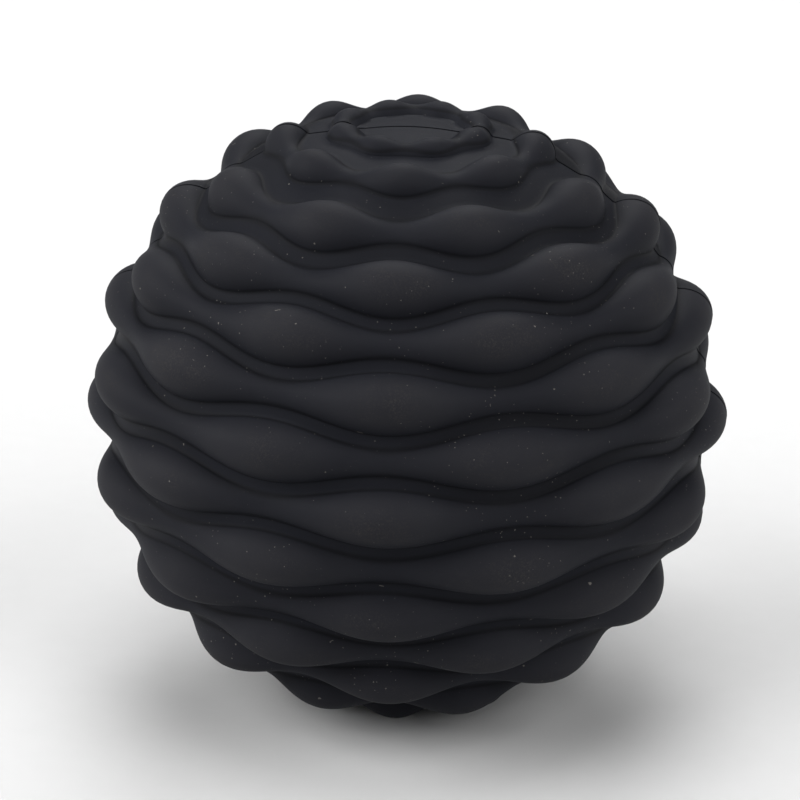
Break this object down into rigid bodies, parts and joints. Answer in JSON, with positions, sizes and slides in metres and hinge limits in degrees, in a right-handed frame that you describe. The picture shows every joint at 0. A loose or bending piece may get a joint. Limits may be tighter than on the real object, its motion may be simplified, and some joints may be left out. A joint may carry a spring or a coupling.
{
  "type": "case opening friction ball",
  "caption": "Hollow soft-rubber ball with wavy friction ribs around it, for unscrewing screw-on watch case backs by hand.",
  "frame": {"origin": "centre of the ball", "axes": "+Z along the axis that the ribs run around, through the two small crown ribs; the seam between the half shells lies in the XZ plane and -Y is the front, at the middle of a bulge of the middle rib"},
  "size_m": [0.065, 0.065, 0.0602],
  "materials": {
    "shell_rubber": "matt moulded rubber, bluish black, lightly dusty",
    "seam_cement": "dull black rubber cement",
    "plug_gum": "soft tacky brown gum"
  },
  "bodies": {
    "root": {"front_half_shell": "shell_rubber", "rear_half_shell": "shell_rubber", "seam_cement": "seam_cement", "inflation_plug": "plug_gum"}
  },
  "joints": []
}
